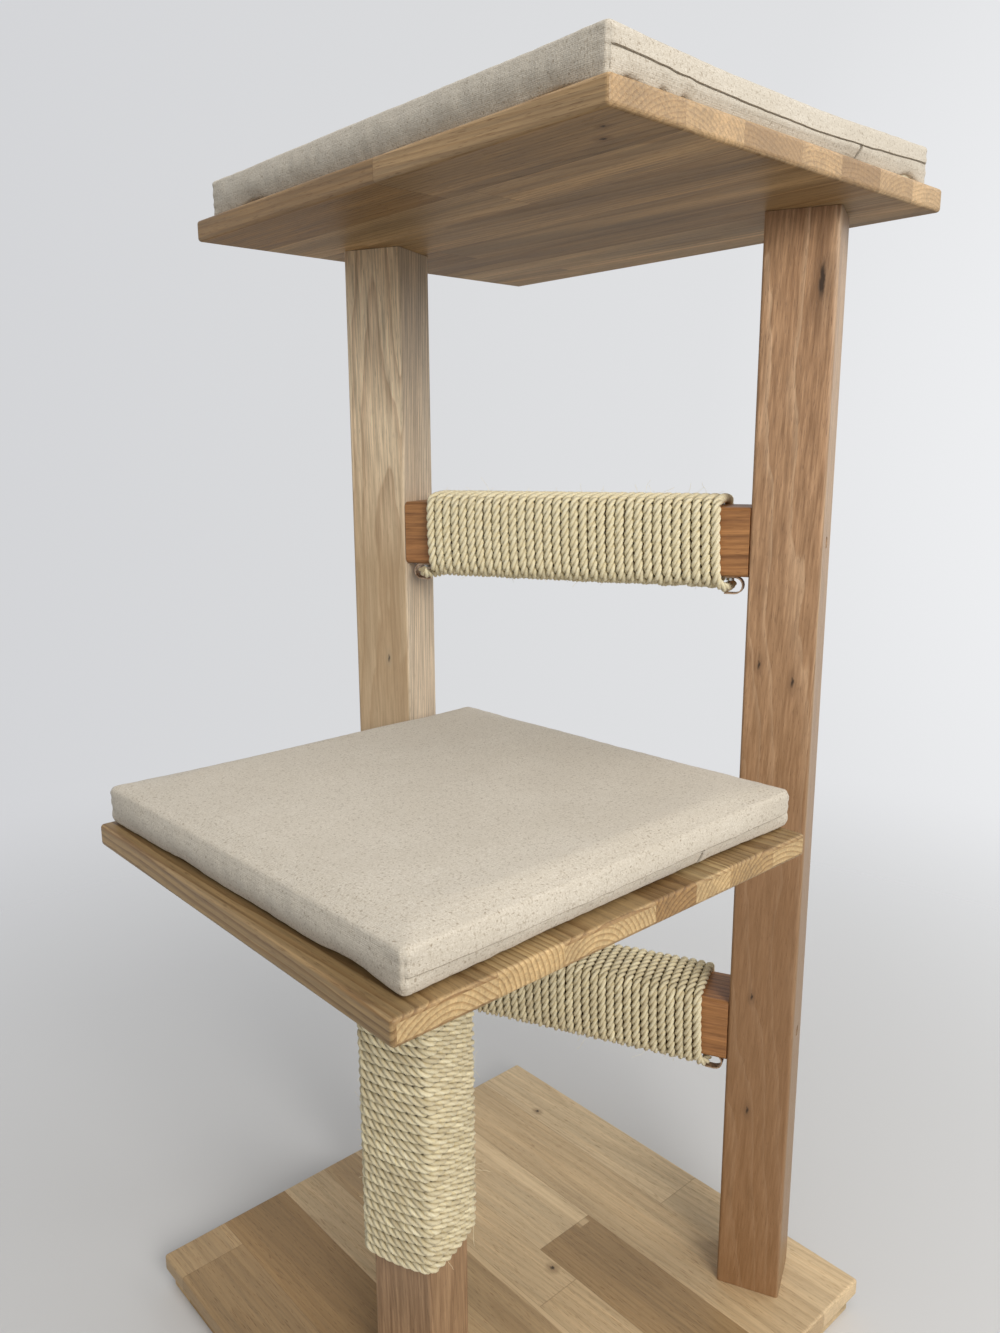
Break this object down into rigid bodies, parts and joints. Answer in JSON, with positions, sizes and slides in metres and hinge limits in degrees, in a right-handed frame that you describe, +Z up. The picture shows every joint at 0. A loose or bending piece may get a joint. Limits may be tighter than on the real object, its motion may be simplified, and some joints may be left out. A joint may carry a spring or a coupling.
{
  "type": "cat perch",
  "caption": "Wooden cat perch with a stepped base, tall posts joined by rope-wound crossbars, a rope-wound front post, and a middle and a top shelf with loose cotton cushions.",
  "frame": {"origin": "on the floor, under the middle of the whole perch seen from above", "axes": "+Z up, +X towards the tall posts from the front post, +Y along the longer side of the top shelf"},
  "size_m": [0.574, 0.514, 1.0903],
  "materials": {
    "base_oak": "oiled, satin",
    "shelf_oak": "oiled, satin",
    "post_timber": "oiled, satin",
    "bar_timber": "oiled, satin",
    "sisal": "natural twisted rope",
    "cotton": "unbleached plain weave, matte",
    "foam": "open cell foam, matte",
    "zip_tape": "woven tape, matte",
    "screw_steel": "zinc plated",
    "clip_steel": "plated strip, satin"
  },
  "bodies": {
    "perch": {"base_board_lower": "base_oak", "base_board_upper": "base_oak", "shelf_middle": "shelf_oak", "shelf_top": "shelf_oak", "tall_post_left": "post_timber", "tall_post_right": "post_timber", "front_post": "post_timber", "crossbar_upper": "bar_timber", "crossbar_lower": "bar_timber", "rope_upper": "sisal", "rope_lower": "sisal", "rope_front": "sisal", "rope_upper_left_clip": "clip_steel", "rope_upper_right_clip": "clip_steel", "rope_lower_left_clip": "clip_steel", "rope_lower_right_clip": "clip_steel", "rope_front_lower_clip": "clip_steel", "rope_upper_left_clip_screw": "screw_steel", "rope_upper_right_clip_screw": "screw_steel", "rope_lower_left_clip_screw": "screw_steel", "rope_lower_right_clip_screw": "screw_steel", "rope_front_lower_clip_screw": "screw_steel", "base_screw_left_1": "screw_steel", "base_screw_left_2": "screw_steel", "base_screw_right_1": "screw_steel", "base_screw_right_2": "screw_steel", "base_screw_front_1": "screw_steel", "base_screw_front_2": "screw_steel", "base_joint_screw_1": "screw_steel", "base_joint_screw_2": "screw_steel", "base_joint_screw_3": "screw_steel", "base_joint_screw_4": "screw_steel", "shelf_screw_left_1": "screw_steel", "shelf_screw_left_2": "screw_steel", "shelf_screw_right_1": "screw_steel", "shelf_screw_right_2": "screw_steel", "shelf_screw_front_1": "screw_steel", "shelf_screw_front_2": "screw_steel", "bar_bolt_upper_left": "screw_steel", "bar_bolt_upper_right": "screw_steel", "bar_bolt_lower_left": "screw_steel", "bar_bolt_lower_right": "screw_steel"},
    "middle_cushion": {"cushion_middle_cover": "cotton", "cushion_middle_foam": "foam", "cushion_middle_zip": "zip_tape"},
    "top_cushion": {"cushion_top_cover": "cotton", "cushion_top_foam": "foam", "cushion_top_zip": "zip_tape"}
  },
  "joints": [
    {"name": "middle_cushion_lift", "type": "slide", "parent": "perch", "child": "middle_cushion", "axis": [0, 0, 1], "range_m": [0, 0.12]},
    {"name": "top_cushion_lift", "type": "slide", "parent": "perch", "child": "top_cushion", "axis": [0, 0, 1], "range_m": [0, 0.15]}
  ]
}
